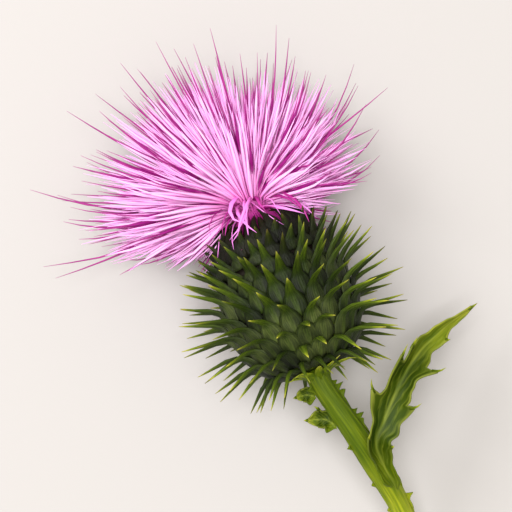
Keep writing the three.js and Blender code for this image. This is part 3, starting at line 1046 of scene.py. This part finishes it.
def make_leaf(name, node, foot, steps, half_width, folds, spines, at, turn):
    """A leaf whose midrib climbs the stem at the foot's shares, and then follows steps in
    millimetres from where it leaves the stem."""
    root = on_surface(at, turn, 0.3 * MM)
    lifts = [-0.65 * MM] + [0.15 * MM] * len(foot)
    climb = [on_surface(share, turn, lift) for share, lift in zip(foot, lifts)]
    line = curve_through(climb + [root + Vector(step) * MM for step in steps])
    leaves_stem = (root - climb[0]).length / line.length if climb else 0.0
    on_leaf = bent_along(line, UP)
    waves = line.length / LEAF_WAVE
    pile = Pile()

    def half(share):
        """Half the width: it grows along the foot, and tapers to the tip."""
        grown = mix(0.3, 1.0, smooth(share / (leaves_stem + 0.12)))
        taper = min(1.0, max(0.0, (1 - share) / 0.4))
        pointed = min(1.0, 0.02 + share / 0.12)
        return half_width * grown * pointed * (0.04 + 0.96 * taper)

    def place(share, across):
        side = 1 if across > 0 else -1
        teeth = [(-where, 0.8 * long) for where, long in spines[side]]
        tooth = tooth_edge(-share, teeth, LOBE_WIDTH, LOBE_SHARPNESS) * abs(across) ** 4
        slow = 0.1 * math.sin(31 * waves * share + 2 * side)
        fast = 0.06 * math.sin(67 * waves * share + side)
        reach = half(share) * (1 + slow + fast) + tooth * MM
        roll = 1 + 0.3 * math.sin(19 * share + 2.5 * side)
        fold = folds[side] * roll * (0.35 + 0.65 * abs(across)) * smooth((share + 0.05) / 0.2)
        ruffle = 0.15 * half_width * math.sin(26 * waves * share + 3 * side) * across**2
        x = -side * abs(across) * reach * math.cos(fold)
        y = abs(across) * reach * math.sin(fold) + ruffle * (1 - share)
        return on_leaf(Vector((x, y, share + LOBE_LEAN * tooth)))

    pile.pour(sheet(110, 16, LEAF_THICKNESS, place, "blade"), lambda co: co.copy(), 0)
    last = line.at(1.02) + line.heading(1) * 0.6 * MM
    pile.pour(spike, bent_along(Line([line.at(0.98), line.at(1), last]), UP), 1)
    for side in (1, -1):
        for where, long in spines[side]:
            edge = place(where, side)
            inner = place(where, 0.9 * side)
            way = ((edge - inner).normalized() + line.heading(where)).normalized()
            tip = edge + way * 0.5 * long * MM
            pile.pour(spike, bent_along(Line([inner, edge, tip]), UP), 1)
    return pile.piece(name, [leaf_green, stem_green], [node], "leaf")


make_leaf(
    "folded_stem_leaf",
    "stem_leaf",
    [0.58, 0.5, 0.42],
    [
        (0.5, 1.2, 0.5),
        (2.1, 5.8, 0.6),
        (4.7, 11.8, 0),
        (8.3, 17.3, -1.4),
        (12.8, 21.5, -3.6),
        (18.1, 25.2, -6.4),
    ],
    3.1 * MM,
    {1: math.radians(52), -1: math.radians(34)},
    {
        1: [(0.3, 1.8), (0.45, 3.2), (0.585, 4.0), (0.65, 3.0)],
        -1: [(0.28, 1.2), (0.45, 2.7), (0.63, 2.9), (0.8, 0.9)],
    },
    0.346,
    math.radians(26),
)
make_leaf(
    "small_leaf_by_the_head",
    "upper_small_leaf",
    [],
    [(0, 0, 0), (-1.6, 0.3, -0.6), (-3.4, -0.2, -1.4)],
    1.5 * MM,
    {1: math.radians(36), -1: math.radians(36)},
    {1: [], -1: []},
    0.08,
    math.radians(-100),
)
make_leaf(
    "small_leaf_lower_down",
    "lower_small_leaf",
    [],
    [(0, 0, 0), (-2.0, 1.4, -0.4), (-5.2, 1.2, -1.4)],
    1.8 * MM,
    {1: math.radians(36), -1: math.radians(36)},
    {1: [], -1: [(0.55, 1.6)]},
    0.217,
    math.radians(-100),
)

# %% [markdown]
# ## The receptacle
# It stays as packed, deep inside the bracts, and only needs its finish.

# %% Finish the receptacle
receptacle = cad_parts["receptacle"]
receptacle.data.materials.clear()
receptacle.data.materials.append(stem_green)

# %% [markdown]
# ## Floor, light and camera
# The thistle lies on a plain warm white surface. A large soft light hangs over it, a second
# one stands to the upper left like a window, and pale light comes from all round. The camera
# looks straight down from a little way off.

# %% Floor
floor_shape = bmesh.new()
bmesh.ops.create_grid(floor_shape, x_segments=1, y_segments=1, size=1.0)
floor = bpy.data.objects.new("floor", stored(floor_shape, "floor"))
bpy.context.scene.collection.objects.link(floor)
paper, paper_tree, paper_shader = finish("warm_white_paper", 0.9)
PAPER_TONES = [(0.3, (0.36, 0.346, 0.344)), (0.7, (0.368, 0.354, 0.352))]
grain = ramp(paper_tree, noise(paper_tree, 3), PAPER_TONES)
paper_tree.links.new(grain, paper_shader.inputs["Base Color"])
floor.data.materials.append(paper)
floor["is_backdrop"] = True

# %% Light
scene = bpy.context.scene
scene.view_settings.view_transform = "Standard"
world = bpy.data.worlds.new("soft_room")
world.use_nodes = True
sky = world.node_tree.nodes["Background"]
sky.inputs["Color"].default_value = (1.0, 0.955, 0.82, 1)
sky.inputs["Strength"].default_value = 0.84
scene.world = world


def soft_light(name, place, size, power):
    lamp = bpy.data.lights.new(name, "AREA")
    lamp.size = size
    lamp.energy = power
    lamp.color = (1.0, 0.985, 0.985)
    thing = bpy.data.objects.new(name, lamp)
    thing.location = place
    thing.rotation_euler = (-Vector(place)).to_track_quat("-Z", "Y").to_euler()
    scene.collection.objects.link(thing)


soft_light("window", (-0.5, 0.3, 0.55), 0.36, 5.2)
soft_light("overhead", (-0.02, 0.04, 0.9), 0.4, 9.4)
scene.cycles.diffuse_bounces = 10

# %% Camera
FRAME_WIDTH = 92 * MM
CAMERA_DISTANCE = 400 * MM
lens = bpy.data.cameras.new("camera")
lens.sensor_width = 36
lens.lens = 36 * CAMERA_DISTANCE / FRAME_WIDTH
lens.clip_start = 0.01
camera = bpy.data.objects.new("camera", lens)
camera.location = head_base + Vector((-10.6 * MM, 20.2 * MM, CAMERA_DISTANCE - 3 * MM))
scene.collection.objects.link(camera)
scene.camera = camera
print("camera at", in_mm(camera.location))

# %% Measure and finish
low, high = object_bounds()
print("visual from", in_mm(low), "to", in_mm(high))
